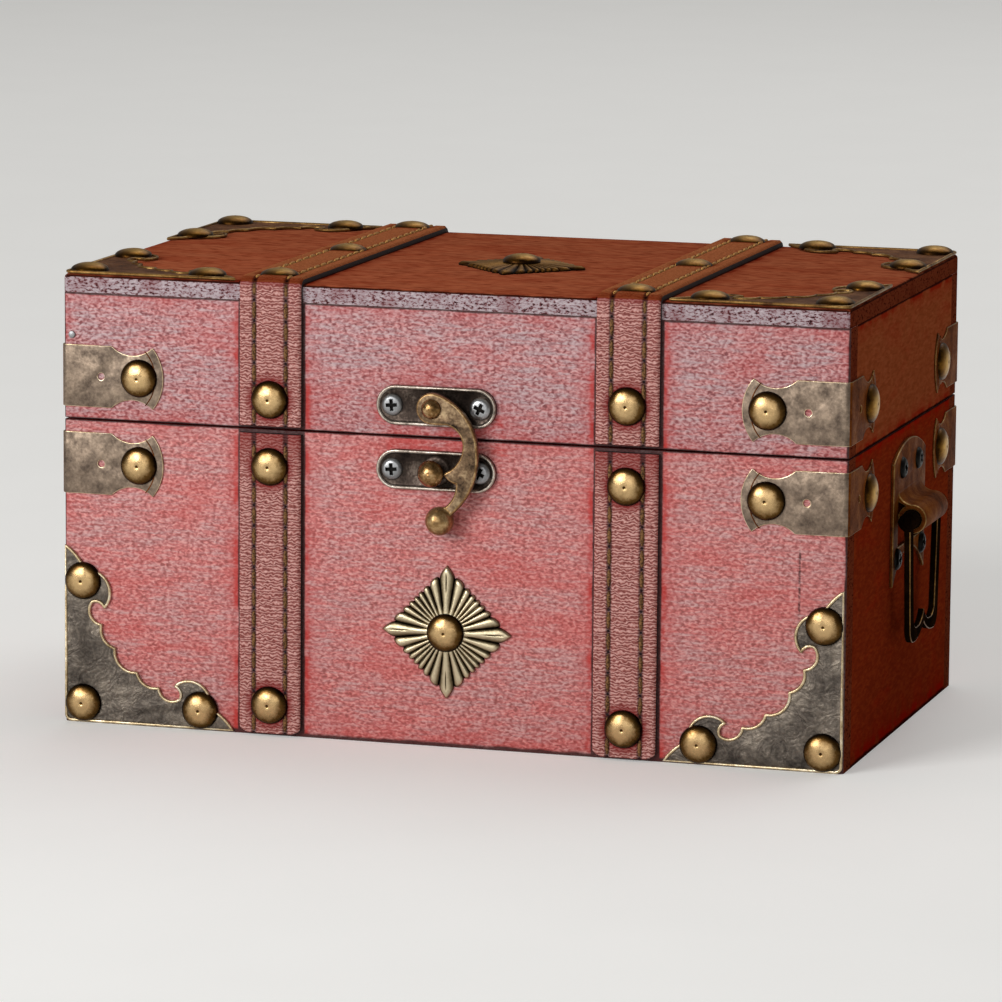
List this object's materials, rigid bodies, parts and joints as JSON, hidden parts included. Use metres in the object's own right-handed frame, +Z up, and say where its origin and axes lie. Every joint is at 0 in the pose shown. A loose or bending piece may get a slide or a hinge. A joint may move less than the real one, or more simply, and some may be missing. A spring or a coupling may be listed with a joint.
{
  "type": "treasure chest box",
  "caption": "Hinged wooden keepsake chest with leather straps, stamped metal corners, a swing-hook latch on the front and a drop handle on each end.",
  "frame": {"origin": "centre of the underside of the wooden base", "axes": "+X to the right as seen from the front, -Y towards the front with the latch, +Z up"},
  "size_m": [0.2376, 0.1424, 0.128],
  "materials": {
    "painted_wood": "brick-red paint, rubbed and weathered",
    "strap_leather": "red-brown pebbled leather, stitched",
    "antique_brass_nails": "antique brass, dark in the rim",
    "aged_bronze_sheet": "dark antique bronze, worn bright on the edges",
    "latch_bronze": "antique bronze casting, polished on the high spots",
    "antique_gold_ornament": "antique gold with dark flutes",
    "zinc_screws": "bright zinc plate",
    "dark_screws": "blackened steel"
  },
  "bodies": {
    "base": {"base_back_panel": "painted_wood", "base_back_strap_left": "strap_leather", "base_back_strap_right": "strap_leather", "base_bottom_panel": "painted_wood", "base_bracket_back_left": "aged_bronze_sheet", "base_bracket_back_right": "aged_bronze_sheet", "base_bracket_front_left": "aged_bronze_sheet", "base_bracket_front_right": "aged_bronze_sheet", "base_bracket_nails": "antique_brass_nails", "base_front_panel": "painted_wood", "base_front_strap_left": "strap_leather", "base_front_strap_right": "strap_leather", "base_left_panel": "painted_wood", "base_plate_nails": "antique_brass_nails", "base_right_panel": "painted_wood", "base_strap_nails": "antique_brass_nails", "catch_plate": "latch_bronze", "catch_post": "latch_bronze", "catch_screws": "zinc_screws", "front_corner_plate_left": "aged_bronze_sheet", "front_corner_plate_right": "aged_bronze_sheet", "front_ornament": "antique_gold_ornament", "handle_plate_left": "aged_bronze_sheet", "handle_plate_right": "aged_bronze_sheet", "handle_screws": "dark_screws", "hinge_base_leaf_left": "aged_bronze_sheet", "hinge_base_leaf_right": "aged_bronze_sheet", "hinge_base_screws": "dark_screws", "hinge_pin_left": "aged_bronze_sheet", "hinge_pin_right": "aged_bronze_sheet"},
    "lid": {"hinge_lid_leaf_left": "aged_bronze_sheet", "hinge_lid_leaf_right": "aged_bronze_sheet", "hinge_lid_screws": "dark_screws", "latch_plate": "latch_bronze", "latch_rivet": "latch_bronze", "latch_screws": "zinc_screws", "lid_back_panel": "painted_wood", "lid_bracket_back_left": "aged_bronze_sheet", "lid_bracket_back_right": "aged_bronze_sheet", "lid_bracket_front_left": "aged_bronze_sheet", "lid_bracket_front_right": "aged_bronze_sheet", "lid_bracket_nails": "antique_brass_nails", "lid_front_panel": "painted_wood", "lid_left_panel": "painted_wood", "lid_plate_nails": "antique_brass_nails", "lid_right_panel": "painted_wood", "lid_strap_left": "strap_leather", "lid_strap_nails": "antique_brass_nails", "lid_strap_right": "strap_leather", "lid_top_panel": "painted_wood", "top_corner_plate_back_left": "aged_bronze_sheet", "top_corner_plate_back_right": "aged_bronze_sheet", "top_corner_plate_front_left": "aged_bronze_sheet", "top_corner_plate_front_right": "aged_bronze_sheet", "top_ornament": "antique_gold_ornament"},
    "hook": {"latch_hook": "latch_bronze"},
    "left_bail": {"handle_bail_left": "aged_bronze_sheet"},
    "right_bail": {"handle_bail_right": "aged_bronze_sheet"}
  },
  "joints": [
    {"name": "lid_hinge", "type": "hinge", "parent": "base", "child": "lid", "pos_m": [0, 0.0672, 0.08425], "axis": [-1, 0, 0], "range_deg": [0, 110]},
    {"name": "hook_swing", "type": "hinge", "parent": "lid", "child": "hook", "pos_m": [-0.0032, -0.065, 0.0928], "axis": [0, -1, 0], "range_deg": [0, 290]},
    {"name": "right_bail_swing", "type": "hinge", "parent": "base", "child": "right_bail", "pos_m": [0.1148, 0.004, 0.06], "axis": [0, -1, 0], "range_deg": [0, 175]},
    {"name": "left_bail_swing", "type": "hinge", "parent": "base", "child": "left_bail", "pos_m": [-0.1148, 0.004, 0.06], "axis": [0, 1, 0], "range_deg": [0, 175]}
  ]
}
